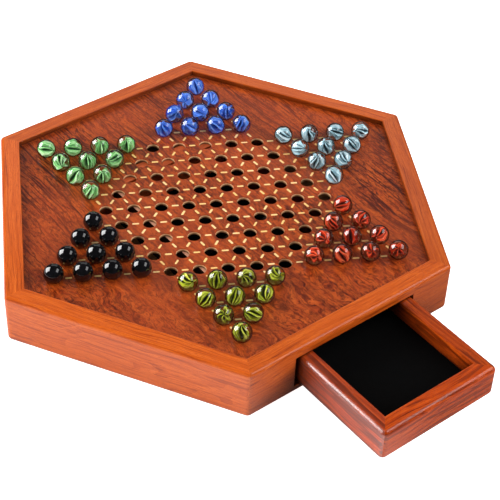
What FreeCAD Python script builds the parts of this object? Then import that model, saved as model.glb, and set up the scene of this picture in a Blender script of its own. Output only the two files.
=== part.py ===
import FreeCAD, Part
# Hexagonal wooden Chinese checkers board with a storage drawer and six sets of ten glass marbles.
#
# Millimetres, +Z up, origin at the centre of the underside, drawer towards -Y.
# Six mitred rails hold a drilled play panel in a groove and a base panel in a rebate.
# Inside, a cross bar and two dividers make the drawer's bay and carry the play panel.
# The drawer is drawn part of the way out.

import math
import os

V = FreeCAD.Vector

# ---- Rails ----
CORNER_R = 197.0            # centre to a sharp outer corner
HEIGHT = 44.0               # table to the top of the rails
RAIL_W = 15.4               # thickness of a rail, seen from above
CORNER_ROUND = 4.6          # upright outer corners
EDGE_ROUND = 3.0            # top and bottom outer arrises
INNER_ROUND = 0.9           # top inner arris
LIP = 4.6                   # how far the rails stand above the play surface
RAILS = (                   # name, turn from the front rail in degrees
    ("rail_front", 0),
    ("rail_front_right", 60),
    ("rail_back_right", 120),
    ("rail_back", 180),
    ("rail_back_left", 240),
    ("rail_front_left", 300),
)

# ---- Play panel ----
PITCH = 22.2                # hole to hole
ARM_ROWS = 4                # rows of holes in each star point
PANEL_T = 3.0
PANEL_TONGUE = 5.0          # how far the panel enters the rails' groove
PANEL_GAP = 0.2             # room for the panel to swell in the groove
HOLE_R = 5.3
HOLE_BEVEL = 0.5

# ---- Marbles ----
MARBLE_R = 8.0
MARBLE_GAP = 0.03           # between a resting marble and the bevel
MARBLE_SETS = (             # name, direction of the star point that the set fills, in degrees
    ("marbles_ice", 0),
    ("marbles_blue", 60),
    ("marbles_green", 120),
    ("marbles_black", 180),
    ("marbles_lime", 240),
    ("marbles_red", 300),
)

# ---- Base and its screws ----
BASE_T = 5.5
BASE_REBATE = 8.0           # how far the base enters the rails' rebate
BASE_GAP = 0.2
SCREW_HEAD_R = 3.0
SCREW_SHANK_R = 1.5
SCREW_L = 14.0
SCREW_SINK = 0.3            # head below the underside
SCREW_ALONG = 72.0          # middle of a rail to its screws
SLOT_W = 0.8
SLOT_D = 0.9

# ---- Mitre splines ----
SPLINE_L = 16.0
SPLINE_W = 7.0
SPLINE_T = 2.5
SPLINE_FROM_CORNER = 10.0   # sharp outer corner to the middle of the spline
SPLINE_Z = 18.0

# ---- Drawer ----
DRAWER_X = 3.5              # its middle, a little right of the board's
DRAWER_W = 110.6
DRAWER_H = 27.7
DRAWER_OPEN = 92.0          # how far out it is drawn
DRAWER_LIFT = 0.2           # above the bay lining
STOP_GAP = 0.5              # to the cross bar when the drawer is shut
SIDE_T = 12.1
FRONT_T = 13.5
BACK_T = 10.0
BACK_DROP = 6.2             # top of the back below the top of the sides
TRAY_DEPTH = 15.0           # top of the sides to the felt
FELT_T = 1.0
FELT_GAP = 0.3
FLOOR_T = 4.0
FLOOR_TONGUE = 4.0          # how far the drawer's bottom enters its walls
DRAWER_CORNER = 4.4         # upright front corners
DRAWER_ROUND = 3.8          # top and bottom outer arrises
TRAY_ROUND = 0.7            # top inner arris

# ---- Bay ----
OPENING_LEFT = -55.6
OPENING_RIGHT = 59.6
OPENING_ARRIS = 0.7
ROOF_GAP = 1.2              # drawer top to the roof of the opening
LINING_T = 0.8
GUIDE_GAP = 0.4             # drawer to the left divider and to the runner
DIVIDER_T = 3.0
RIGHT_DIVIDER_X = 64.5      # its face towards the drawer
RUNNER_H = 12.0
BAR_Y = 66.3                # front face of the cross bar
BAR_W = 15.0

# ---- Worked out ----
TILT = math.radians(30)
APOTHEM = CORNER_R * math.cos(TILT)
INNER_APOTHEM = APOTHEM - RAIL_W
BASE_APOTHEM = INNER_APOTHEM + BASE_REBATE
PLAY_Z = HEIGHT - LIP
PANEL_Z = PLAY_Z - PANEL_T
LINING_Z = BASE_T + LINING_T
DRAWER_Z = LINING_Z + DRAWER_LIFT
DRAWER_TOP = DRAWER_Z + DRAWER_H
DRAWER_L = APOTHEM + BAR_Y - STOP_GAP
DRAWER_LEFT = DRAWER_X - DRAWER_W / 2
DRAWER_RIGHT = DRAWER_X + DRAWER_W / 2
DRAWER_FRONT = -APOTHEM - DRAWER_OPEN
DRAWER_BACK = DRAWER_FRONT + DRAWER_L
TRAY_LEFT = DRAWER_LEFT + SIDE_T
TRAY_RIGHT = DRAWER_RIGHT - SIDE_T
TRAY_FRONT = DRAWER_FRONT + FRONT_T
TRAY_BACK = DRAWER_BACK - BACK_T
FELT_Z = DRAWER_TOP - TRAY_DEPTH
FLOOR_TOP = FELT_Z - FELT_T
FLOOR_Z = FLOOR_TOP - FLOOR_T
BAY_LEFT = DRAWER_LEFT - GUIDE_GAP
RUNNER_LEFT = DRAWER_RIGHT + GUIDE_GAP
OPENING_TOP = DRAWER_TOP + ROOF_GAP
CLEAR = 1.0                 # how far cutting tools stand proud of the wood
NEAR = 0.001                # two lengths closer than this are the same
# A ball on a 45 degree bevel touches it on a circle of this radius.
TOUCH_R = MARBLE_R * math.sin(math.radians(45))
MARBLE_Z = PLAY_Z - (HOLE_R + HOLE_BEVEL - TOUCH_R) + TOUCH_R + MARBLE_GAP


# ---- Helpers ----
def box(x0, x1, y0, y1, z0, z1):
    return Part.makeBox(x1 - x0, y1 - y0, z1 - z0, V(x0, y0, z0))


def polar(radius, degrees):
    angle = math.radians(degrees)
    return radius * math.cos(angle), radius * math.sin(angle)


def prism(points, z0, z1):
    """An upright prism over an outline of (x, y) points."""
    loop = [V(x, y, z0) for x, y in points]
    face = Part.Face(Part.makePolygon(loop + loop[:1]))
    return face.extrude(V(0, 0, z1 - z0))


def hexagon(apothem, z0, z1):
    """A hexagonal prism with flats towards -Y and +Y."""
    radius = apothem / math.cos(TILT)
    return prism([polar(radius, 60 * k) for k in range(6)], z0, z1)


def turned(shape, degrees):
    """A copy turned about the board's upright axis."""
    copy = shape.copy()
    copy.rotate(V(0, 0, 0), V(0, 0, 1), degrees)
    return copy


def placed(shape, spots):
    """A compound of copies of a shape, one at each spot."""
    copies = []
    for spot in spots:
        copy = shape.copy()
        copy.translate(spot)
        copies.append(copy)
    return Part.makeCompound(copies)


def same(a, b):
    return abs(a - b) < NEAR


def edges_where(shape, wanted):
    """The edges whose end points all satisfy wanted(point)."""
    return [e for e in shape.Edges if all(wanted(v.Point) for v in e.Vertexes)]


def upright_edges(shape, wanted):
    """The upright edges whose end points satisfy wanted(point)."""
    return [e for e in edges_where(shape, wanted) if same(e.BoundBox.ZLength, e.Length)]


def save(name, shape):
    """Writes a node as one solid, or as a group of separate solids."""
    solids = shape.Solids
    if not solids or not all(s.isValid() for s in solids):
        raise RuntimeError(name + " isn't a valid solid")
    out = solids[0] if len(solids) == 1 else Part.makeCompound(solids)
    out.exportStep("parts/" + name + ".step")


# ---- Hole pattern ----
def star_points():
    """Centres of the star's holes: every lattice point inside either of two large triangles."""
    points = []
    reach = 2 * ARM_ROWS
    for i in range(-reach, reach + 1):
        for j in range(-reach, reach + 1):
            k = -i - j
            if max(i, j, k) <= ARM_ROWS or min(i, j, k) >= -ARM_ROWS:
                x = PITCH * i * math.cos(TILT)
                y = PITCH * (i * math.sin(TILT) + j)
                points.append(V(x, y, 0))
    return points


def point_set(direction):
    """The holes of the star point that faces a direction: those beyond the central hexagon."""
    x, y = polar(1, direction)
    towards = V(x, y, 0)
    row = PITCH * math.cos(TILT)
    return [p for p in star_points() if p.dot(towards) > (ARM_ROWS + 0.5) * row]


# ---- Rails ----
def frame_ring():
    """The whole frame with its groove and rebate, before it is cut into rails."""
    ring = hexagon(APOTHEM, 0, HEIGHT)
    ring = ring.makeFillet(CORNER_ROUND, upright_edges(ring, lambda p: True))
    ring = ring.makeFillet(EDGE_ROUND, edges_where(ring, lambda p: same(p.z, HEIGHT)))
    ring = ring.makeFillet(EDGE_ROUND, edges_where(ring, lambda p: same(p.z, 0)))
    ring = ring.cut(hexagon(INNER_APOTHEM, -CLEAR, HEIGHT + CLEAR))
    inner_r = INNER_APOTHEM / math.cos(TILT)
    arris = edges_where(ring, lambda p: same(p.z, HEIGHT) and math.hypot(p.x, p.y) < inner_r + NEAR)
    ring = ring.makeFillet(INNER_ROUND, arris)
    ring = ring.cut(hexagon(INNER_APOTHEM + PANEL_TONGUE, PANEL_Z, PLAY_Z))
    return ring.cut(hexagon(BASE_APOTHEM, -CLEAR, BASE_T))


def rail(ring, turn):
    """The part of the ring between two mitres."""
    far = CORNER_R + CLEAR
    wedge = prism([(0, 0), polar(far, 240 + turn), polar(far, 300 + turn)], -CLEAR, HEIGHT + CLEAR)
    return ring.common(wedge)


def with_opening(front):
    """Cuts the drawer's opening. Behind its sill the rail is lowered for the lining."""
    inner = -INNER_APOTHEM + CLEAR
    front = front.cut(box(OPENING_LEFT, OPENING_RIGHT, -APOTHEM - CLEAR, inner, LINING_Z, OPENING_TOP))
    front = front.cut(box(OPENING_LEFT, OPENING_RIGHT, -BASE_APOTHEM, inner, BASE_T, LINING_Z))
    return front.makeFillet(OPENING_ARRIS, edges_where(front, on_opening_rim))


def on_opening_rim(p):
    """True for points on the opening's edge in the outer face."""
    across = OPENING_LEFT - NEAR < p.x < OPENING_RIGHT + NEAR
    high = LINING_Z - NEAR < p.z < OPENING_TOP + NEAR
    return across and high and same(p.y, -APOTHEM)


def mitre_splines():
    """A loose tongue across each mitre, buried in the wood."""
    half_w, half_l = SPLINE_W / 2, SPLINE_L / 2
    spline = box(-half_w, half_w, -half_l, half_l, SPLINE_Z, SPLINE_Z + SPLINE_T)
    spline.translate(V(CORNER_R - SPLINE_FROM_CORNER, 0, 0))
    return Part.makeCompound([turned(spline, 60 * k) for k in range(6)])


# ---- Panels ----
def play_panel():
    panel = hexagon(INNER_APOTHEM + PANEL_TONGUE - PANEL_GAP, PANEL_Z, PLAY_Z)
    drill = Part.makeCylinder(HOLE_R, PANEL_T, V(0, 0, PANEL_Z))
    bevel = Part.makeCone(HOLE_R, HOLE_R + HOLE_BEVEL, HOLE_BEVEL, V(0, 0, PLAY_Z - HOLE_BEVEL))
    return panel.cut(placed(drill.fuse(bevel), star_points()))


def base_panel():
    return hexagon(BASE_APOTHEM - BASE_GAP, 0, BASE_T)


# ---- Screws ----
def screw():
    """One countersunk wood screw on the Z axis, head down, without its slot."""
    head_h = SCREW_HEAD_R - SCREW_SHANK_R
    tip_h = 2 * SCREW_SHANK_R
    head = Part.makeCone(SCREW_HEAD_R, SCREW_SHANK_R, head_h, V(0, 0, SCREW_SINK))
    shank = Part.makeCylinder(SCREW_SHANK_R, SCREW_L - head_h - tip_h, V(0, 0, SCREW_SINK + head_h))
    tip = Part.makeCone(SCREW_SHANK_R, 0, tip_h, V(0, 0, SCREW_SINK + SCREW_L - tip_h))
    return head.fuse(shank).fuse(tip).removeSplitter()


def slotted_screw():
    slot = box(-SCREW_HEAD_R, SCREW_HEAD_R, -SLOT_W / 2, SLOT_W / 2, 0, SCREW_SINK + SLOT_D)
    return screw().cut(slot)


def screw_bore():
    """What one screw takes out of the wood, with the sunk mouth over its head."""
    mouth = Part.makeCylinder(SCREW_HEAD_R, SCREW_SINK + CLEAR, V(0, 0, -CLEAR))
    return screw().fuse(mouth)


def screw_spots():
    """Two screws under each rail, in the middle of the rebate."""
    spots = []
    for name, turn in RAILS:
        for side in (-1, 1):
            spot = Part.Vertex(side * SCREW_ALONG, BASE_REBATE / 2 - BASE_APOTHEM, 0)
            spots.append(turned(spot, turn).Point)
    return spots


# ---- Bay ----
def bay_parts():
    """Cross bar from rail to rail, dividers from the front rail to it, runner and lining."""
    bar_zone = box(-CORNER_R, CORNER_R, BAR_Y, BAR_Y + BAR_W, BASE_T, PANEL_Z)
    front = -INNER_APOTHEM
    left = box(BAY_LEFT - DIVIDER_T, BAY_LEFT, front, BAR_Y, BASE_T, PANEL_Z)
    right = box(RIGHT_DIVIDER_X, RIGHT_DIVIDER_X + DIVIDER_T, front, BAR_Y, BASE_T, PANEL_Z)
    runner = box(RUNNER_LEFT, RIGHT_DIVIDER_X, front, BAR_Y, BASE_T, BASE_T + RUNNER_H)
    bed = box(BAY_LEFT, RUNNER_LEFT, front, BAR_Y, BASE_T, LINING_Z)
    apron = box(OPENING_LEFT, OPENING_RIGHT, -BASE_APOTHEM, front, BASE_T, LINING_Z)
    return {
        "cross_bar": hexagon(INNER_APOTHEM, BASE_T, PANEL_Z).common(bar_zone),
        "divider_left": left,
        "divider_right": right,
        "drawer_runner": runner,
        "bay_lining": bed.fuse(apron).removeSplitter(),
    }


# ---- Drawer ----
def drawer_walls():
    """Front and sides in one piece, rounded, with the groove for the bottom."""
    walls = box(DRAWER_LEFT, DRAWER_RIGHT, DRAWER_FRONT, DRAWER_BACK, DRAWER_Z, DRAWER_TOP)
    walls = walls.makeFillet(DRAWER_CORNER, upright_edges(walls, lambda p: same(p.y, DRAWER_FRONT)))
    for level in (DRAWER_Z, DRAWER_TOP):
        walls = walls.makeFillet(DRAWER_ROUND, long_edges(walls, level))
    low, high = DRAWER_Z - CLEAR, DRAWER_TOP + CLEAR
    walls = walls.cut(box(TRAY_LEFT, TRAY_RIGHT, TRAY_FRONT, DRAWER_BACK + CLEAR, low, high))
    arris = [e for e in long_edges(walls, DRAWER_TOP) if on_tray(e)]
    return walls.makeFillet(TRAY_ROUND, arris).cut(floor_board())


def long_edges(walls, level):
    """Edges at one level, without those along the drawer's back end."""
    found = edges_where(walls, lambda p: same(p.z, level))
    return [e for e in found if not all(same(v.Y, DRAWER_BACK) for v in e.Vertexes)]


def on_tray(edge):
    """True for edges on the inner outline of the walls."""
    within = [TRAY_LEFT - NEAR < v.X < TRAY_RIGHT + NEAR for v in edge.Vertexes]
    behind = [v.Y > TRAY_FRONT - NEAR for v in edge.Vertexes]
    return all(within) and all(behind)


def floor_board():
    """The drawer's bottom, let into all four walls."""
    left, right = TRAY_LEFT - FLOOR_TONGUE, TRAY_RIGHT + FLOOR_TONGUE
    return box(left, right, TRAY_FRONT - FLOOR_TONGUE, TRAY_BACK + FLOOR_TONGUE, FLOOR_Z, FLOOR_TOP)


def front_zone():
    """Everything in front of the drawer's two mitres."""
    spread = DRAWER_FRONT - FRONT_T
    outline = (
        (DRAWER_LEFT - SIDE_T, spread),
        (DRAWER_RIGHT + SIDE_T, spread),
        (TRAY_RIGHT, TRAY_FRONT),
        (TRAY_LEFT, TRAY_FRONT),
    )
    return prism(outline, DRAWER_Z - CLEAR, DRAWER_TOP + CLEAR)


def drawer_parts():
    walls = drawer_walls()
    left_half = box(DRAWER_LEFT - CLEAR, DRAWER_X, DRAWER_FRONT, DRAWER_BACK, DRAWER_Z, DRAWER_TOP)
    side_left = walls.cut(front_zone()).common(left_half)
    side_right = side_left.mirror(V(DRAWER_X, 0, 0), V(1, 0, 0))
    back = box(TRAY_LEFT, TRAY_RIGHT, TRAY_BACK, DRAWER_BACK, DRAWER_Z, DRAWER_TOP - BACK_DROP)
    left, right = TRAY_LEFT + FELT_GAP, TRAY_RIGHT - FELT_GAP
    felt = box(left, right, TRAY_FRONT + FELT_GAP, TRAY_BACK - FELT_GAP, FLOOR_TOP, FELT_Z)
    return {
        "drawer_front": walls.common(front_zone()),
        "drawer_side_left": side_left,
        "drawer_side_right": side_right,
        "drawer_back": back.cut(floor_board()),
        "drawer_bottom": floor_board(),
        "drawer_felt": felt,
    }


def marble_set(direction):
    """Ten marbles, each resting on the bevel of its hole."""
    return placed(Part.makeSphere(MARBLE_R, V(0, 0, MARBLE_Z)), point_set(direction))


def main():
    os.makedirs("parts", exist_ok=True)
    splines = mitre_splines()
    bores = placed(screw_bore(), screw_spots())
    ring = frame_ring().cut(splines).cut(bores)
    nodes = {name: rail(ring, turn) for name, turn in RAILS}
    nodes["rail_front"] = with_opening(nodes["rail_front"])
    nodes["mitre_splines"] = splines
    nodes["base_screws"] = placed(slotted_screw(), screw_spots())
    nodes["play_panel"] = play_panel()
    nodes["base_panel"] = base_panel().cut(bores)
    nodes.update(bay_parts())
    nodes.update(drawer_parts())
    for name, direction in MARBLE_SETS:
        nodes[name] = marble_set(direction)
    for name, shape in nodes.items():
        save(name, shape)


main()
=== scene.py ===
import math
import random

import bmesh
import bpy
from mathutils import Matrix, Quaternion, Vector, noise


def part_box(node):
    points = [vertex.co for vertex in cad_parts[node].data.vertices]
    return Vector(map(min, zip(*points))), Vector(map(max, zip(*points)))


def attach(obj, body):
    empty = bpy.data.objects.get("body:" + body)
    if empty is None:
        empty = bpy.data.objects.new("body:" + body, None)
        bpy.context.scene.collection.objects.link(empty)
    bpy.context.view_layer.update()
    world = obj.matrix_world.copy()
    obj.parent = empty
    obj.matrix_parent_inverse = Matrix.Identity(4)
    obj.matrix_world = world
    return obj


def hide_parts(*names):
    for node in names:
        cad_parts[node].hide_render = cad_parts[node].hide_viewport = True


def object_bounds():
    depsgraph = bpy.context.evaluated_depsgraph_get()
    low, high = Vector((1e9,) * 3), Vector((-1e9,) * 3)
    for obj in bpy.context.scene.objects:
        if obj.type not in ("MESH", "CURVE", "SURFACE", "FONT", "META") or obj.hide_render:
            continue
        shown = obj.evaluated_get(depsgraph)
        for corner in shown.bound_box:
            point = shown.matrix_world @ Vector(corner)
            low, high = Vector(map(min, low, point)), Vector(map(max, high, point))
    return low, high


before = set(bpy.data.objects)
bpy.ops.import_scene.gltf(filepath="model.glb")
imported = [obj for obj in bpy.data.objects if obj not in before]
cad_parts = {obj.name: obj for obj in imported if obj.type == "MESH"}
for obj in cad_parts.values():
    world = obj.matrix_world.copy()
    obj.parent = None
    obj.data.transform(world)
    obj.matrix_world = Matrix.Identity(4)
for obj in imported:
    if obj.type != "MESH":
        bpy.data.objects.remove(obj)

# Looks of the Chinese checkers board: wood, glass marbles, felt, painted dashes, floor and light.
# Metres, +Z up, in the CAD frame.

CAD_LO, CAD_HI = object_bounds()

MM = 0.001
SEED = 7
ROOT3_2 = math.cos(math.radians(30))
ARM_ROWS = 4
RAIL_WIDTH = 15.4 * MM
DRAWER_TRAVEL = 90 * MM

# ---- Places that come from the CAD model ----
ICE_LO, ICE_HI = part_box("marbles_ice")
MARBLE_R = (ICE_HI.z - ICE_LO.z) / 2
MARBLE_Z = (ICE_HI.z + ICE_LO.z) / 2
PITCH = (ICE_HI.x - ICE_LO.x - 2 * MARBLE_R) / (ARM_ROWS - 1) / ROOT3_2
PLAY_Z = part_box("play_panel")[1].z
LIP_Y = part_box("rail_front")[0].y + RAIL_WIDTH

# The Mix node's sockets when it mixes colours
MIX_FACTOR, MIX_A, MIX_B, MIX_RESULT = 0, 6, 7, 2


# ---- Node helpers ----
def rgb(red, green, blue):
    """A colour given in sRGB 0-255, as linear RGBA."""
    linear = []
    for value in (red, green, blue):
        v = value / 255
        linear.append(v / 12.92 if v <= 0.04045 else ((v + 0.055) / 1.055) ** 2.4)
    return (*linear, 1.0)


WHITE = rgb(255, 255, 255)


def plug(tree, socket, value):
    """Links an output to a socket, or sets the socket's own value."""
    if isinstance(value, bpy.types.NodeSocket):
        tree.links.new(value, socket)
    else:
        socket.default_value = value


def add(tree, kind, props=None, **inputs):
    """A new shader node with its properties and inputs set."""
    made = tree.nodes.new("ShaderNode" + kind)
    for key, value in (props or {}).items():
        setattr(made, key, value)
    for key, value in inputs.items():
        plug(tree, made.inputs[key.replace("_", " ")], value)
    return made


def calc(tree, operation, *values):
    made = add(tree, "Math", {"operation": operation})
    for socket, value in zip(made.inputs, values):
        plug(tree, socket, value)
    return made.outputs[0]


def times(tree, a, b):
    return calc(tree, "MULTIPLY", a, b)


def vec(tree, operation, *values, output="Vector"):
    """Vector arithmetic. A dot product or a length comes out of "Value"."""
    made = add(tree, "VectorMath", {"operation": operation})
    for socket, value in zip(made.inputs, values):
        plug(tree, socket, value)
    return made.outputs[output]


def scaled(tree, vector, factors):
    return vec(tree, "MULTIPLY", vector, factors)


def dot(tree, a, b):
    return vec(tree, "DOT_PRODUCT", a, b, output="Value")


def length(tree, vector):
    return vec(tree, "LENGTH", vector, output="Value")


def part(tree, vector, axis):
    """A vector's X, Y or Z."""
    return add(tree, "SeparateXYZ", Vector=vector).outputs[axis]


def mix(tree, factor, a, b, blend="MIX"):
    made = add(tree, "Mix", {"data_type": "RGBA", "blend_type": blend})
    plug(tree, made.inputs[MIX_FACTOR], factor)
    plug(tree, made.inputs[MIX_A], a)
    plug(tree, made.inputs[MIX_B], b)
    return made.outputs[MIX_RESULT]


def ramp(tree, factor, stops):
    """A colour ramp with stops of (position, colour)."""
    made = add(tree, "ValToRGB")
    elements = made.color_ramp.elements
    elements.remove(elements[1])
    elements[0].position, elements[0].color = stops[0]
    for position, colour in stops[1:]:
        elements.new(position).color = colour
    plug(tree, made.inputs[0], factor)
    return made.outputs[0]


def steps(tree, factor, low, high, out_low=0.0, out_high=1.0):
    """Remaps low..high to out_low..out_high, clamped and smooth."""
    made = add(tree, "MapRange", {"interpolation_type": "SMOOTHSTEP"}, Value=factor)
    for name, value in (("From Min", low), ("From Max", high), ("To Min", out_low), ("To Max", out_high)):
        made.inputs[name].default_value = value
    return made.outputs[0]


def stain(tree, colour, pattern, low, high, strength, tone):
    """Lays a tone over a colour, more strongly as a pattern goes from low to high."""
    return mix(tree, steps(tree, pattern, low, high, 0.0, strength), colour, tone)


def place(tree):
    """The shaded point in its object's own coordinates, in metres."""
    return add(tree, "TexCoord").outputs["Object"]


def place_mm(tree):
    return scaled(tree, place(tree), (1 / MM, 1 / MM, 1 / MM))


def upness(tree):
    """The Z of the surface's normal: 1 on top, 0 on an upright face and -1 underneath."""
    return part(tree, add(tree, "NewGeometry").outputs["Normal"], "Z")


def grainy(tree, vector, scale, detail=3.0, rough=0.55, twist=0.0):
    inputs = {"Vector": vector, "Scale": scale, "Detail": detail, "Roughness": rough, "Distortion": twist}
    return add(tree, "TexNoise", **inputs).outputs["Fac"]


def grain(tree, spot, stretch, detail=3.0, rough=0.55, twist=0.0):
    """Noise with its own scale along each axis."""
    return grainy(tree, scaled(tree, spot, stretch), 1.0, detail, rough, twist)


def wander(tree, spot, stretch, detail):
    """A vector that drifts either way from zero from place to place."""
    made = add(tree, "TexNoise", Vector=scaled(tree, spot, stretch), Scale=1.0, Detail=detail)
    return vec(tree, "SUBTRACT", made.outputs["Color"], (0.5, 0.5, 0.5))


def relief(tree, height, distance):
    """A bump of a height map in metres."""
    return add(tree, "Bump", Strength=1.0, Distance=distance, Height=height).outputs[0]


def new_material(name):
    made = bpy.data.materials.new(name)
    made.use_nodes = True
    made.node_tree.nodes.clear()
    return made, made.node_tree


def finish_material(made, shader):
    """The material, with a shader on its surface."""
    output = made.node_tree.nodes.new("ShaderNodeOutputMaterial")
    made.node_tree.links.new(shader, output.inputs["Surface"])
    return made


def principled(made, **inputs):
    """The material, finished with a Principled shader."""
    return finish_material(made, add(made.node_tree, "BsdfPrincipled", **inputs).outputs[0])


def shader_mix(tree, factor, a, b):
    made = add(tree, "MixShader")
    for socket, value in zip(made.inputs, (factor, a, b)):
        plug(tree, socket, value)
    return made.outputs[0]


# ---- Wood ----
# A coat is the varnish's roughness, its index of refraction and its weight on level tops.
RAIL_COAT = (0.14, 1.5, 0.9)
SIDE_COAT_WEIGHT = 0.9
# Reach and tone of the painted shade that darkens the wood in corners
CORNER_SHADE_REACH = 120 * MM
CORNER_SHADE_TONE = rgb(20, 5, 2)
ARRIS_RADIUS = 1.2 * MM


def turned(tree, degrees, scale):
    """Object coordinates, scaled and turned so that X runs along the grain."""
    mapping = add(tree, "Mapping", Vector=place(tree))
    mapping.inputs["Rotation"].default_value = (0, 0, math.radians(-degrees))
    mapping.inputs["Scale"].default_value = (scale, scale, scale)
    return mapping.outputs[0]


def along_grain(tree, degrees, offset):
    """Millimetres, X along the grain, offset and gently warped."""
    spot = vec(tree, "ADD", turned(tree, degrees, 1 / MM), offset)
    shift = scaled(tree, wander(tree, spot, (0.011, 0.03, 0.03), 2.0), (0, 12, 12))
    return vec(tree, "ADD", spot, shift)


def arris_wear(tree, radius):
    """Near 1 on worn edges and 0 on flats."""
    rounded = add(tree, "Bevel", {"samples": 4}, Radius=radius).outputs[0]
    flat = add(tree, "NewGeometry").outputs["Normal"]
    return steps(tree, dot(tree, rounded, flat), 0.995, 0.90)


def wood(name, degrees, tones, offset, lip=None, painted_side_light=1.0, coat=RAIL_COAT, contrast=0.0):
    """Varnished hardwood with growth bands, streaks, pores and worn arrises, with painted shade in
    corners.

    Painted shade darkens the inner faces past the lip. Upright faces are brightened by the painted side
    light factor, which is painted light, and the contrast is the strength of the broad dark streaks. The
    coat holds the varnish's roughness, its index of refraction and its weight on level tops.
    """
    made, tree = new_material(name)
    dark, middle, light = tones
    coat_rough, coat_ior, top_coat_weight = coat
    spot = along_grain(tree, degrees, offset)
    bands = add(
        tree, "TexWave", {"wave_type": "RINGS", "rings_direction": "X", "wave_profile": "SAW"},
        Vector=scaled(tree, spot, (0.02, 1, 1)), Scale=0.22, Distortion=2.2, Detail=2.0,
        Detail_Scale=0.6, Detail_Roughness=0.6,
    ).outputs["Fac"]
    streak = grain(tree, spot, (0.014, 0.62, 0.62), 5.0, 0.62)
    fleck = grain(tree, spot, (0.16, 2.3, 2.3), 3.0, 0.6)
    cloud = grain(tree, spot, (0.02, 0.05, 0.05), 2.0)
    bold = grain(tree, spot, (0.009, 0.34, 0.34), 2.0, 0.5)
    pores = steps(tree, grain(tree, spot, (0.45, 5.0, 5.0), 2.0), 0.56, 0.70)
    figure = calc(tree, "ADD", times(tree, bands, 0.12), times(tree, streak, 0.88))
    colour = ramp(tree, figure, [(0.28, dark), (0.46, middle), (0.66, light)])
    colour = stain(tree, colour, fleck, 0.52, 0.66, 0.45, dark)
    colour = stain(tree, colour, cloud, 0.35, 0.65, 0.35, middle)
    colour = mix(tree, times(tree, arris_wear(tree, ARRIS_RADIUS), 0.25), colour, light)
    colour = mix(tree, times(tree, pores, 0.35), colour, dark)
    level = upness(tree)
    # Painted light: upright faces are brightened by the painted side light factor.
    upright = steps(tree, calc(tree, "ABSOLUTE", level), 0.6, 0.2, 1.0, painted_side_light)
    colour = scaled(tree, colour, add(tree, "CombineXYZ", X=upright, Y=upright, Z=upright).outputs[0])
    colour = stain(tree, colour, bold, 0.50, 0.60, contrast, dark)
    # Painted shade: where little open sky reaches, as in corners and beside the drawer, the wood is
    # darkened.
    occlusion = add(tree, "AmbientOcclusion", {"samples": 8, "only_local": False}, Distance=CORNER_SHADE_REACH)
    corner_shade = steps(tree, occlusion.outputs["AO"], 0.49, 0.27, 0.0, 0.93)
    not_underneath = steps(tree, level, -0.6, -0.2)
    colour = mix(tree, times(tree, corner_shade, not_underneath), colour, CORNER_SHADE_TONE)
    # Painted shade: the inner walls past the lip are darkened.
    if lip is not None:
        inward = part(tree, turned(tree, degrees, 1.0), "Y")
        lip_shade = mix(tree, 1.0, colour, rgb(150, 120, 110), "MULTIPLY")
        colour = stain(tree, colour, inward, lip - 0.6 * MM, lip - 0.1 * MM, 0.5, lip_shade)
    bumped = relief(tree, calc(tree, "SUBTRACT", times(tree, streak, 0.5), pores), 0.03 * MM)
    return principled(
        made, Base_Color=colour, Normal=bumped, IOR=1.5, Specular_IOR_Level=0.12,
        Roughness=calc(tree, "ADD", steps(tree, streak, 0.35, 0.65, 0.29, 0.40), times(tree, pores, 0.2)),
        Coat_Weight=steps(tree, level, 0.93, 0.995, SIDE_COAT_WEIGHT, top_coat_weight),
        Coat_Roughness=coat_rough, Coat_IOR=coat_ior, Coat_Normal=bumped,
    )


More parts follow.
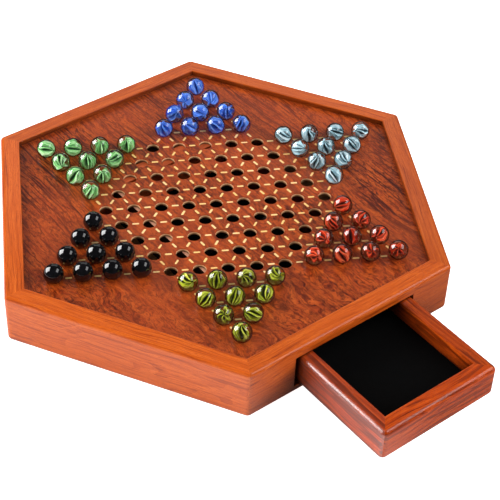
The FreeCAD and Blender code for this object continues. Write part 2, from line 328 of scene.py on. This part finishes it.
def veneer(name):
    """Figured veneer on the upper face, with its grain along Y. Bare ply shows in the holes, with painted
    shade deeper down.
    """
    made, tree = new_material(name)
    dark, middle, light = rgb(62, 14, 4), rgb(154, 56, 15), rgb(192, 86, 26)
    spot = along_grain(tree, 90, (40, 13, 0))
    # The figure is wilder towards the front left, where burl goes to 1.
    burl = steps(tree, dot(tree, place(tree), (-0.45 / MM, -0.85 / MM, 0)), 0, 110)
    wild = add(tree, "CombineXYZ", Y=steps(tree, burl, 0, 1, 3.0, 22.0)).outputs[0]
    swung = vec(tree, "ADD", spot, scaled(tree, wander(tree, spot, (0.035, 0.06, 0.06), 3.0), wild))
    figure = grain(tree, swung, (0.020, 0.42, 0.42), 5.0, 0.66, 0.2)
    mottle = grain(tree, swung, (0.10, 0.16, 0.16), 4.0, 0.6)
    swirl = grain(tree, swung, (0.03, 0.12, 0.12), 4.0, 0.6, 0.8)
    speck = grain(tree, swung, (0.32, 0.55, 0.55), 3.0, 0.65)
    stripe = grain(tree, swung, (0.012, 0.5, 0.5), 3.0, 0.55)
    fibre = grain(tree, swung, (0.22, 1.7, 1.7), 3.0, 0.65)
    patch = grain(tree, spot, (0.010, 0.014, 0.014), 2.0)
    pores = steps(tree, grain(tree, swung, (0.5, 4.5, 4.5), 2.0), 0.57, 0.70)
    colour = ramp(tree, figure, [(0.33, dark), (0.46, middle), (0.66, light)])
    colour = stain(tree, colour, mottle, 0.40, 0.66, 0.5, light)
    off_vein = calc(tree, "ABSOLUTE", calc(tree, "SUBTRACT", swirl, 0.5))
    veined = times(tree, steps(tree, off_vein, 0.035, 0.0), steps(tree, burl, 0, 1, 0.85, 0.6))
    colour = mix(tree, veined, colour, dark)
    colour = stain(tree, colour, speck, 0.50, 0.66, 0.6, dark)
    striped = times(tree, steps(tree, stripe, 0.54, 0.62), steps(tree, burl, 1, 0, 0.35, 1.0))
    outer = steps(tree, length(tree, place(tree)), 60 * MM, 110 * MM, 0.15, 1.0)
    colour = mix(tree, times(tree, striped, outer), colour, dark)
    colour = stain(tree, colour, fibre, 0.50, 0.66, 0.75, dark)
    colour = stain(tree, colour, patch, 0.40, 0.62, 0.3, rgb(176, 74, 34))
    colour = mix(tree, times(tree, pores, 0.4), colour, dark)
    ply = grain(tree, spot, (0.6, 2.5, 3.0), 3.0)
    bare = ramp(tree, ply, [(0.35, rgb(196, 140, 92)), (0.65, rgb(240, 196, 150))])
    height = part(tree, place(tree), "Z")
    # Painted shade: the bare ply darkens deeper into the holes.
    bare = stain(tree, bare, height, PLAY_Z - 0.8 * MM, PLAY_Z - 2.6 * MM, 0.85, rgb(70, 36, 20))
    top = steps(tree, upness(tree), 0.45, 0.65)
    bumps = calc(tree, "SUBTRACT", times(tree, fibre, 0.4), pores)
    return principled(
        made, Base_Color=mix(tree, top, bare, colour), IOR=1.5, Specular_IOR_Level=0.35,
        Roughness=calc(tree, "ADD", times(tree, top, -0.28), steps(tree, figure, 0.3, 0.7, 0.60, 0.70)),
        Coat_Weight=times(tree, top, 0.1), Coat_Roughness=0.2, Normal=relief(tree, bumps, 0.03 * MM),
    )


def bare_board(name, tones, degrees=0, spread=0.45, edge=None):
    """Inner timber or ply without varnish. One with an edge tone shows its paler layers on top."""
    made, tree = new_material(name)
    dark, light = tones
    spot = along_grain(tree, degrees, (5, 60, 9))
    streak = grain(tree, spot, (0.02, spread, spread), 5.0, 0.6)
    fleck = grain(tree, spot, (0.3, 2.6, 2.6), 2.0)
    colour = ramp(tree, streak, [(0.32, dark), (0.68, light)])
    colour = stain(tree, colour, fleck, 0.54, 0.68, 0.5, dark)
    if edge is not None:
        flecked = mix(tree, steps(tree, fleck, 0.45, 0.6), edge, dark)
        colour = mix(tree, steps(tree, upness(tree), 0.6, 0.9), colour, mix(tree, 0.3, edge, flecked))
    return principled(
        made, Base_Color=colour, Roughness=steps(tree, streak, 0.3, 0.7, 0.55, 0.75),
        Normal=relief(tree, fleck, 0.05 * MM),
    )


# ---- Cloth, metal, paint ----
def felt_material(name):
    made, tree = new_material(name)
    spot = place_mm(tree)
    fibre = grainy(tree, spot, 2.2, 5.0, 0.7, 1.5)
    cloud = grainy(tree, spot, 0.05, 3.0)
    colour = ramp(tree, fibre, [(0.35, rgb(3, 3, 3)), (0.60, rgb(7, 7, 7)), (0.75, rgb(20, 20, 20))])
    return principled(
        made, Base_Color=stain(tree, colour, cloud, 0.4, 0.6, 0.4, rgb(6, 6, 7)), Roughness=0.95,
        Specular_IOR_Level=0.06, Sheen_Weight=0.01, Sheen_Roughness=0.5,
        Normal=relief(tree, fibre, 0.25 * MM),
    )


def steel_material(name):
    made, tree = new_material(name)
    spot = place_mm(tree)
    scuff = grainy(tree, spot, 1.4, 4.0, 0.7)
    cloud = grainy(tree, spot, 0.25, 3.0)
    colour = ramp(tree, cloud, [(0.35, rgb(150, 146, 138)), (0.65, rgb(206, 203, 196))])
    return principled(
        made, Base_Color=colour, Metallic=1.0, Roughness=steps(tree, scuff, 0.3, 0.7, 0.22, 0.5),
        Normal=relief(tree, scuff, 0.02 * MM),
    )


def dash_material(name):
    made, tree = new_material(name)
    spot = place_mm(tree)
    blotch = grainy(tree, spot, 0.9, 3.0, 0.6)
    tone = grainy(tree, spot, 0.02, 1.0)
    colour = mix(tree, steps(tree, tone, 0.4, 0.6), rgb(244, 206, 144), rgb(236, 194, 118))
    colour = stain(tree, colour, blotch, 0.45, 0.75, 0.4, rgb(206, 140, 76))
    return principled(
        made, Base_Color=colour, Roughness=steps(tree, blotch, 0.3, 0.7, 0.35, 0.5),
        Normal=relief(tree, blotch, 0.03 * MM),
    )


# ---- Glass ----
GLASS_IOR = 1.55


def glass_material(name, tint, rim, shade):
    """Glass with faint scuffs, tinted towards its rim tone near its outline as painted shade.

    It shades the board under it but not the ribbons inside it.
    """
    made, tree = new_material(name)
    spot = place_mm(tree)
    scuff = grainy(tree, spot, 0.8, 4.0, 0.6)
    slant = add(tree, "LayerWeight", Blend=0.5).outputs["Facing"]
    # Painted shade: the glass darkens towards its outline, which also dims its reflections there.
    colour = mix(tree, steps(tree, slant, 0.34, 0.62), tint, rim)
    # The shader tints what it transmits with the square root of its colour, so it gets the square.
    squared = mix(tree, 1.0, colour, colour, "MULTIPLY")
    glass = add(
        tree, "BsdfPrincipled", Base_Color=squared, Transmission_Weight=1.0, IOR=GLASS_IOR,
        Roughness=steps(tree, scuff, 0.60, 0.75, 0.0, 0.05), Coat_Weight=0.8, Coat_Roughness=0.16,
        Normal=relief(tree, grainy(tree, spot, 0.22, 2.0), 0.02 * MM),
    )
    leaving = add(tree, "NewGeometry").outputs["Backfacing"]
    clear = add(tree, "BsdfTransparent", Color=mix(tree, leaving, shade, WHITE))
    shadow = add(tree, "LightPath").outputs["Is Shadow Ray"]
    return finish_material(made, shader_mix(tree, shadow, glass.outputs[0], clear.outputs[0]))


def black_glass_material(name):
    made, tree = new_material(name)
    spot = place_mm(tree)
    swirl = grainy(tree, spot, 0.18, 3.0, 0.5, 1.2)
    scuff = grainy(tree, spot, 0.8, 4.0, 0.6)
    return principled(
        made, Base_Color=ramp(tree, swirl, [(0.4, rgb(4, 4, 5)), (0.7, rgb(14, 14, 18))]), IOR=GLASS_IOR,
        Roughness=steps(tree, scuff, 0.55, 0.75, 0.03, 0.12), Coat_Weight=0.6, Coat_Roughness=0.02,
        Normal=relief(tree, grainy(tree, spot, 0.22, 2.0), 0.05 * MM),
    )


def vane_material(name, deep, body, pale, shade_start):
    """Coloured glass ribbons, streaked along their length, with painted shade near the axis."""
    made, tree = new_material(name)
    along = add(tree, "Attribute", {"attribute_name": "vane"}).outputs["Vector"]
    streak = grain(tree, along, (5.0, 1.1, 40.0), 3.0, 0.6, 0.5)
    colour = ramp(tree, streak, [(0.33, deep), (0.46, body), (0.66, pale)])
    # Painted shade: the ribbons darken towards the axis, so the gaps between them read dark.
    colour = stain(tree, colour, part(tree, along, "X"), shade_start, shade_start - 0.4, 0.95, deep)
    return principled(
        made, Base_Color=colour, Roughness=steps(tree, streak, 0.3, 0.7, 0.3, 0.5),
        Subsurface_Weight=0.25, Subsurface_Radius=(1.0, 1.0, 1.0), Subsurface_Scale=0.6 * MM,
        Normal=relief(tree, streak, 0.06 * MM),
    )


# ---- Mesh helpers ----
def mesh_object(name, bm, material, smooth=True):
    mesh = bpy.data.meshes.new(name)
    bm.to_mesh(mesh)
    bm.free()
    made = bpy.data.objects.new(name, mesh)
    bpy.context.scene.collection.objects.link(made)
    mesh.materials.append(material)
    for face in mesh.polygons:
        face.use_smooth = smooth
    return made


def star_points():
    """Centres of the 121 holes in lattice order."""
    points = []
    reach = 2 * ARM_ROWS
    for i in range(-reach, reach + 1):
        for j in range(-reach, reach + 1):
            k = -i - j
            if max(i, j, k) <= ARM_ROWS or min(i, j, k) >= -ARM_ROWS:
                points.append(Vector((PITCH * i * ROOT3_2, PITCH * (i / 2 + j), 0)))
    return points


def arm_points(degrees):
    """The ten holes of the star point that faces a direction."""
    towards = Vector((math.cos(math.radians(degrees)), math.sin(math.radians(degrees)), 0))
    limit = (ARM_ROWS + 0.5) * PITCH * ROOT3_2
    return [p for p in star_points() if p.dot(towards) > limit]


# ---- Marbles ----
# How far the glass stays inside the CAD ball, how high its ripples are, and how deep the marks
# at its poles are and where they start, from 0 at the equator to 1 at the pole
BALL_GAP = 0.03 * MM
RIPPLE = 0.025 * MM
MARK_DEPTH = 0.05 * MM
POLE = 0.965
# A ribbon's half thickness, and its half length as a share of the marble's radius
VANE_THICK = 0.50 * MM
VANE_LENGTH = 0.60


def add_ball(bm, centre, spin, rng):
    """A moulded glass ball with faint ripples and a sheared mark at each end of its axis."""
    start = len(bm.verts)
    bmesh.ops.create_icosphere(bm, subdivisions=4, radius=MARBLE_R - BALL_GAP)
    bm.verts.ensure_lookup_table()
    offset = Vector((rng.uniform(0, 50), rng.uniform(0, 50), rng.uniform(0, 50)))
    for vert in bm.verts[start:]:
        way = vert.co.normalized()
        ripple = noise.noise(way * 2.2 + offset) * RIPPLE
        polar = max(0.0, abs(way.z) - POLE) / (1 - POLE)
        mark = MARK_DEPTH * polar * math.sin(9 * polar + 6 * math.atan2(way.y, way.x))
        vert.co = spin @ (vert.co + way * (ripple - abs(mark)))
        vert.co += centre


def add_vane(bm, layer, centre, spin, turn, twist, width, half_length, rng):
    """One twisted ribbon beside the marble's axis: a thin pointed oval, thicker in the middle."""
    rows, cols = 26, 7
    tint = rng.random()
    wave = rng.uniform(0, math.tau)
    rings = []
    for i in range(rows + 1):
        t = i / rows
        swell = math.sin(math.pi * (0.03 + 0.94 * t)) ** 0.62
        reach = width * swell * (1 + 0.07 * math.sin(5 * t * math.pi + wave))
        angle = turn + twist * (t - 0.5) + 0.12 * math.sin(4 * t + wave)
        along = half_length * (2 * t - 1)
        ring = []
        for side in (1, -1):
            for j in range(cols + 1) if side > 0 else range(cols - 1, 0, -1):
                s = j / cols
                radius = reach * (0.04 + 0.96 * s)
                thick = side * VANE_THICK * swell * math.sin(math.pi * (0.08 + 0.84 * s)) ** 0.8
                bend = angle + 0.35 * s * s * math.sin(wave)
                x = radius * math.cos(bend) - thick * math.sin(bend)
                y = radius * math.sin(bend) + thick * math.cos(bend)
                vert = bm.verts.new(centre + spin @ Vector((x, y, along)))
                vert[layer] = (s, t, tint, 1.0)
                ring.append(vert)
        rings.append(ring)
    for lower, upper in zip(rings, rings[1:]):
        for k in range(len(lower)):
            m = (k + 1) % len(lower)
            bm.faces.new((lower[k], lower[m], upper[m], upper[k]))
    bm.faces.new(rings[0][::-1])
    bm.faces.new(rings[-1])


def marble_set(colour, degrees, vanes, width, glass, ribbon):
    """Ten marbles of one colour, riding on their own body. Returns their glass."""
    rng = random.Random(SEED + degrees)
    balls, ribbons = bmesh.new(), bmesh.new()
    layer = ribbons.verts.layers.float_color.new("vane")
    for hole in arm_points(degrees):
        centre = Vector((hole.x, hole.y, MARBLE_Z))
        tilt = Vector((rng.gauss(0, 1), rng.gauss(0, 1), rng.gauss(0, 1))).normalized()
        spin = Quaternion(tilt, rng.uniform(0, math.tau)).to_matrix()
        add_ball(balls, centre, spin, rng)
        if ribbon is None:
            continue
        first = rng.uniform(0, math.tau)
        twist = rng.uniform(0.5, 1.3) * rng.choice((-1, 1))
        heart = centre + Vector((rng.uniform(-1, 1), rng.uniform(-1, 1), rng.uniform(-0.3, 1))) * 0.8 * MM
        for n in range(vanes):
            turn = first + math.tau * n / vanes + rng.uniform(-0.15, 0.15)
            reach = MARBLE_R * width * rng.uniform(0.85, 1.1)
            add_vane(ribbons, layer, heart, spin, turn, twist, reach, MARBLE_R * VANE_LENGTH, rng)
    node, body, slot = "marbles_" + colour, "set_" + colour, "glass_" + colour
    shell = mesh_object(node + "_glass", balls, glass)
    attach(shell, body)
    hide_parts(node)
    if ribbon is None:
        ribbons.free()
        return shell
    core = mesh_object(node + "_vanes", ribbons, ribbon)
    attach(core, body)
    return shell


# ---- Painted dashes ----
def dashes(material):
    """A short rounded stroke midway between every two neighbouring holes."""
    rng = random.Random(SEED)
    half_l, half_w, proud, sunk, turns = 1.9 * MM, 0.88 * MM, 0.06 * MM, 0.02 * MM, 6
    bm = bmesh.new()
    points = star_points()
    for n, a in enumerate(points):
        for b in points[n + 1:]:
            if abs((a - b).length - PITCH) > 0.1 * MM:
                continue
            middle, way = (a + b) / 2, (b - a).normalized()
            across = Vector((-way.y, way.x, 0))
            wide, long = half_w * rng.uniform(0.92, 1.08), half_l * rng.uniform(0.95, 1.05)
            low, high = [], []
            for end in (1, -1):
                for k in range(turns + 1):
                    angle = math.pi * (k / turns - 0.5)
                    wobble = rng.uniform(-0.05, 0.05) * MM
                    out = way * end * (long + (wide + wobble) * math.cos(angle))
                    out += across * end * (wide + wobble) * math.sin(angle)
                    low.append(bm.verts.new(middle + out + Vector((0, 0, PLAY_Z - sunk))))
                    high.append(bm.verts.new(middle + out * 0.985 + Vector((0, 0, PLAY_Z + proud))))
            crown = bm.verts.new(middle + Vector((0, 0, PLAY_Z + proud * 1.3)))
            for k in range(len(low)):
                m = (k + 1) % len(low)
                bm.faces.new((low[k], low[m], high[m], high[k]))
                bm.faces.new((high[k], high[m], crown))
            bm.faces.new(low[::-1])
    made = mesh_object("hole_dashes", bm, material, smooth=False)
    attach(made, "board")


# ---- Felt ----
def felt_sheet(name, node, body, material, cell, fluff):
    """A cut sheet of felt in a CAD solid's space, with a soft edge and an uneven nap."""
    sag, softness, thinnest, clearance = 0.35 * MM, 0.8 * MM, 0.2 * MM, 0.02 * MM
    coarse, fine = 160, 700
    lo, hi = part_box(node)
    nx, ny = max(2, round((hi.x - lo.x) / cell)), max(2, round((hi.y - lo.y) / cell))
    bm = bmesh.new()
    top, bottom = {}, {}
    for i in range(nx + 1):
        for j in range(ny + 1):
            x, y = lo.x + (hi.x - lo.x) * i / nx, lo.y + (hi.y - lo.y) * j / ny
            edge = min(x - lo.x, hi.x - x, y - lo.y, hi.y - y)
            drop = sag * math.exp(-edge / softness)
            nap = noise.noise(Vector((x, y, 0)) * coarse) + 0.6 * noise.noise(Vector((x, y, 3)) * fine)
            z = max(lo.z + thinnest, hi.z - fluff * 1.6 - drop + nap * fluff)
            top[i, j] = bm.verts.new((x, y, z))
            if i in (0, nx) or j in (0, ny):
                bottom[i, j] = bm.verts.new((x, y, lo.z + clearance))
    for i in range(nx):
        for j in range(ny):
            bm.faces.new((top[i, j], top[i + 1, j], top[i + 1, j + 1], top[i, j + 1]))
    rim = [(i, 0) for i in range(nx)] + [(nx, j) for j in range(ny)]
    rim += [(i, ny) for i in range(nx, 0, -1)] + [(0, j) for j in range(ny, 0, -1)]
    for a, b in zip(rim, rim[1:] + rim[:1]):
        bm.faces.new((bottom[a], bottom[b], top[b], top[a]))
    bm.faces.new([bottom[key] for key in rim][::-1])
    made = mesh_object(name, bm, material)
    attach(made, body)
    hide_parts(node)


# ---- Wooden pieces ----
RIM_TONES = (rgb(118, 38, 8), rgb(192, 82, 20), rgb(216, 104, 32))
# Each rail's turn in degrees and how much darker than the lightest it is, in percent
RAILS = {
    "rail_front": (0, 12),
    "rail_front_right": (60, 26),
    "rail_back_right": (120, 14),
    "rail_back": (180, 14),
    "rail_back_left": (240, 0),
    "rail_front_left": (300, 0),
}
for order, (node, (turn, darker)) in enumerate(RAILS.items()):
    shift = (37.0 * order, 11.0 + 7.0 * order, 18.0 - 5.0 * order)
    depth = 1 - darker / 100
    tones = [(*(depth * channel for channel in tone[:3]), 1.0) for tone in RIM_TONES]
    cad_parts[node].data.materials[0] = wood(node + "_wood", turn, tones, shift, LIP_Y)

# Each drawer piece's turn in degrees, tones, painted side light factor and coat
DRAWER_COAT = (0.16, 1.6, 0.7)
DRAWER_WOOD = {
    "drawer_front": (0, (rgb(92, 25, 3), rgb(168, 58, 5), rgb(196, 80, 10)), 1.15, DRAWER_COAT),
    "drawer_side_left": (90, (rgb(58, 13, 2), rgb(146, 46, 5), rgb(188, 74, 12)), 1.45, (0.30, 2.3, 0.3)),
    "drawer_side_right": (90, (rgb(70, 19, 4), rgb(152, 54, 10), rgb(182, 76, 16)), 1.5, DRAWER_COAT),
    # The back's near-black tones are painted shade, for where it shows through the holes.
    "drawer_back": (0, (rgb(16, 6, 3), rgb(34, 14, 8), rgb(50, 22, 12)), 1.0, DRAWER_COAT),
}
for order, (node, (turn, tones, painted_side_light, coat)) in enumerate(DRAWER_WOOD.items()):
    shift = (23.0 * order + 9.0, 14.0 + 9.0 * order, 12.0 + 4.0 * order)
    made = wood(node + "_wood", turn, tones, shift, painted_side_light=painted_side_light, coat=coat, contrast=0.6)
    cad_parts[node].data.materials[0] = made

PALE_EDGE = rgb(222, 164, 134)
INNER = {
    "play_panel": veneer("figured_veneer"),
    "base_panel": bare_board("base_ply", (rgb(140, 84, 44), rgb(192, 134, 84)), 0, 0.3),
    "mitre_splines": bare_board("spline_beech", (rgb(176, 122, 80), rgb(214, 166, 118)), 90),
    "cross_bar": bare_board("bar_hardwood", (rgb(170, 70, 30), rgb(214, 104, 54)), 0),
    # The runner's near-black tones are painted shade, for where it shows through the holes.
    "drawer_runner": bare_board("runner_shaded_hardwood", (rgb(52, 14, 8), rgb(84, 28, 16)), 90),
    "divider_left": bare_board("divider_dark_ply", (rgb(28, 10, 7), rgb(52, 22, 14)), 90, edge=PALE_EDGE),
    "divider_right": bare_board("divider_red_ply", (rgb(60, 12, 6), rgb(96, 24, 12)), 90, edge=PALE_EDGE),
    "drawer_bottom": bare_board("drawer_bottom_ply", (rgb(140, 88, 52), rgb(188, 132, 84)), 0),
    "base_screws": steel_material("screw_zinc"),
}
for node, made in INNER.items():
    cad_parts[node].data.materials[0] = made

# ---- Dashes, felt and marbles ----
dashes(dash_material("dash_paint"))
FELT = felt_material("black_felt_cloth")
felt_sheet("drawer_felt_sheet", "drawer_felt", "drawer", FELT, 1.5 * MM, 0.06 * MM)
felt_sheet("bay_lining_sheet", "bay_lining", "board", FELT, 3.0 * MM, 0.03 * MM)

# Each set's direction in degrees, its ribbons in a marble and their reach as a share of the radius,
# then the glass's tint, rim tone (painted shade at its outline) and shadow shade, and the ribbons' deep,
# body and pale tones and shade start (where their painted shade begins).
# The black set is opaque.
MARBLE_SETS = {
    "ice": (
        0, 6, 0.57,
        (rgb(240, 249, 252), rgb(78, 96, 100), rgb(90, 102, 106)),
        (rgb(24, 54, 66), rgb(172, 212, 224), rgb(242, 250, 252), 0.62),
    ),
    "blue": (
        60, 6, 0.64,
        (rgb(222, 234, 254), rgb(54, 74, 150), rgb(66, 82, 140)),
        (rgb(40, 78, 186), rgb(76, 134, 226), rgb(154, 192, 248), 0.25),
    ),
    "green": (
        120, 6, 0.58,
        (rgb(236, 250, 234), rgb(58, 84, 50), rgb(80, 102, 78)),
        (rgb(18, 76, 38), rgb(152, 230, 146), rgb(228, 250, 210), 0.60),
    ),
    "black": (180, 0, 0.0, None, None),
    "lime": (
        240, 6, 0.50,
        (rgb(236, 238, 214), rgb(38, 40, 18), rgb(80, 82, 54)),
        (rgb(12, 14, 3), rgb(184, 198, 30), rgb(244, 246, 120), 0.80),
    ),
    "red": (
        300, 5, 0.52,
        (rgb(242, 232, 222), rgb(42, 26, 20), rgb(86, 68, 62)),
        (rgb(70, 8, 3), rgb(232, 52, 14), rgb(252, 128, 84), 0.70),
    ),
}
shells = []
for colour, (degrees, vanes, reach, glass_tones, ribbon_look) in MARBLE_SETS.items():
    if glass_tones is None:
        glass, ribbon = black_glass_material("black_glass"), None
    else:
        glass = glass_material(colour + "_glass", *glass_tones)
        ribbon = vane_material(colour + "_ribbon", *ribbon_look)
    shells.append(marble_set(colour, degrees, vanes, reach, glass, ribbon))


# ---- Floor, light, camera ----
def see_through_floor(tree, spot, path):
    """1 where the floor lets a ray through.

    That is for rays from underneath, for rays to something that rests on it, and for steep
    diffuse rays from the undersides of the board and of the drawer, anywhere in its travel.
    """
    from_below = add(tree, "NewGeometry").outputs["Backfacing"]
    resting = calc(tree, "LESS_THAN", path.outputs["Ray Length"], 2 * MM)
    front_lo, front_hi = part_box("drawer_front")
    furthest = front_lo.y - DRAWER_TRAVEL
    middle = ((front_lo.x + front_hi.x) / 2, furthest / 2, 0)
    half = ((front_hi.x - front_lo.x) / 2 - 2 * MM, -furthest / 2 - 2 * MM, 1)
    off_middle = vec(tree, "ABSOLUTE", vec(tree, "SUBTRACT", spot, middle))
    beside = add(tree, "SeparateXYZ", Vector=vec(tree, "SUBTRACT", off_middle, half)).outputs
    under_drawer = calc(tree, "LESS_THAN", calc(tree, "MAXIMUM", beside["X"], beside["Y"]), 0)
    under_board = calc(tree, "LESS_THAN", length(tree, spot), CAD_HI.y - 3 * MM)
    hidden = calc(tree, "MAXIMUM", under_board, under_drawer)
    steepness = part(tree, add(tree, "NewGeometry").outputs["Incoming"], "Z")
    steep = times(tree, path.outputs["Is Diffuse Ray"], calc(tree, "GREATER_THAN", steepness, 0.6))
    return calc(tree, "MAXIMUM", from_below, calc(tree, "MAXIMUM", times(tree, hidden, steep), resting))


def floor():
    """A paper floor, white to the camera.

    To other rays it is pale at the board's left, grey elsewhere as a painted shadow of the board, and
    dark far away.
    """
    half_size, drop = 5, 0.3 * MM
    pale_side, brightness = (-0.985, -0.17, 0), 0.95
    made, tree = new_material("floor_paper")
    spot = place(tree)
    path = add(tree, "LightPath")
    seen = path.outputs["Is Camera Ray"]
    mottling = grainy(tree, spot, 3.0, 2.0)
    mottled = ramp(tree, mottling, [(0.3, rgb(238, 238, 238)), (0.7, rgb(242, 242, 242))])
    # Painted shadow: away from the board's left the floor goes grey to all rays but the camera's.
    floor_shadowed = stain(tree, mottled, dot(tree, spot, pale_side), 0.14, 0.02, 1.0, rgb(130, 130, 130))
    floor_shadowed = stain(tree, floor_shadowed, length(tree, spot), 0.55, 1.1, 1.0, rgb(30, 30, 30))
    paper = add(tree, "BsdfDiffuse", Color=mix(tree, seen, floor_shadowed, mottled))
    glow = add(tree, "Emission", Color=WHITE, Strength=times(tree, seen, brightness))
    lit = add(tree, "AddShader")
    plug(tree, lit.inputs[0], paper.outputs[0])
    plug(tree, lit.inputs[1], glow.outputs[0])
    clear = add(tree, "BsdfTransparent").outputs[0]
    finish_material(made, shader_mix(tree, see_through_floor(tree, spot, path), lit.outputs[0], clear))
    bm = bmesh.new()
    bmesh.ops.create_grid(bm, x_segments=4, y_segments=4, size=half_size)
    plane = mesh_object("floor", bm, made)
    plane.location.z = -drop


def soft_box(name, azimuth, elevation, distance, width, height, power, unseen_by):
    """A soft box that faces the board from a direction given in the CAD frame.

    The kinds of ray in unseen_by don't see it.
    """
    a, e = math.radians(azimuth), math.radians(elevation)
    way = Vector((math.cos(a) * math.cos(e), math.sin(a) * math.cos(e), math.sin(e)))
    data = bpy.data.lights.new(name, "AREA")
    data.shape = "RECTANGLE"
    data.size, data.size_y, data.energy = width, height, power
    made = bpy.data.objects.new(name, data)
    bpy.context.scene.collection.objects.link(made)
    made.location = way * distance
    made.rotation_mode = "QUATERNION"
    made.rotation_quaternion = way.to_track_quat("Z", "Y")
    for kind in unseen_by:
        setattr(made, "visible_" + kind, False)
    return made


def surroundings(above, mirrored, below):
    """A soft studio above that mirrors dark, light from below, and a pale backdrop past the floor."""
    world = bpy.data.worlds.new("studio")
    world.use_nodes = True
    tree = world.node_tree
    height = part(tree, add(tree, "TexCoord").outputs["Generated"], "Z")
    path = add(tree, "LightPath")
    sharp = calc(tree, "MAXIMUM", path.outputs["Is Glossy Ray"], path.outputs["Is Transmission Ray"])
    sky = steps(tree, sharp, 0.0, 1.0, above, mirrored)
    under = steps(tree, height, 0.0, -0.02)
    strength = calc(tree, "MULTIPLY_ADD", under, calc(tree, "SUBTRACT", below, sky), sky)
    strength = calc(tree, "MAXIMUM", strength, path.outputs["Is Camera Ray"])
    background = tree.nodes["Background"]
    plug(tree, background.inputs["Strength"], strength)
    plug(tree, background.inputs["Color"], WHITE)
    world.cycles.sampling_method = "NONE"
    bpy.context.scene.world = world


def camera():
    """Three-quarter view from above the drawer's left, at a long focal length."""
    azimuth, elevation, roll = math.radians(-39.607), math.radians(41.738), math.radians(2.525)
    distance, right_shift, up_shift, aim = 1.1825, 0.0272, -0.03805, Vector((0, 0, 0.0395))
    back = Vector((
        math.sin(azimuth) * math.cos(elevation),
        -math.cos(azimuth) * math.cos(elevation),
        math.sin(elevation),
    ))
    level_right = Vector((0, 0, 1)).cross(back).normalized()
    level_up = back.cross(level_right)
    right = math.cos(roll) * level_right + math.sin(roll) * level_up
    up = back.cross(right)
    data = bpy.data.cameras.new("camera")
    data.lens = 105.513
    data.sensor_width = 36
    data.clip_start, data.clip_end = 0.01, 50
    made = bpy.data.objects.new("camera", data)
    bpy.context.scene.collection.objects.link(made)
    position = aim + back * distance + right * right_shift + up * up_shift
    made.matrix_world = Matrix.Translation(position) @ Matrix((
        (right.x, up.x, back.x, 0),
        (right.y, up.y, back.y, 0),
        (right.z, up.z, back.z, 0),
        (0, 0, 0, 1),
    ))
    bpy.context.scene.camera = made


floor()
# Each light's azimuth, elevation, distance, width, height and watts, and the rays that don't see it.
# The sparkle makes highlights only, and only on the marbles and the drawer's left side.
LIGHTS = {
    "top": (-40, 50, 1.6, 1.25, 0.65, 7, ("transmission",)),
    "key": (129, 27, 2.5, 1.9, 1.35, 70, ("glossy", "transmission")),
    "sparkle": (127, 31, 2.5, 1.9, 1.9, 100, ("diffuse", "transmission")),
    "fill_left": (178, 14, 2.2, 1.6, 1.2, 30, ("glossy", "transmission")),
    "fill_right": (318, 22, 1.8, 0.9, 0.8, 28, ("glossy", "transmission")),
    "rear": (52, 30, 2.2, 1.6, 1.0, 2.5, ("transmission",)),
}
lights = {name: soft_box(name, *settings) for name, settings in LIGHTS.items()}
shiny = bpy.data.collections.new("shiny")
for thing in shells + [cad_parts["drawer_side_left"]]:
    shiny.objects.link(thing)
lights["sparkle"].light_linking.receiver_collection = shiny
surroundings(above=0.36, mirrored=0.04, below=1.0)
camera()
bpy.context.scene.view_settings.view_transform = "Standard"
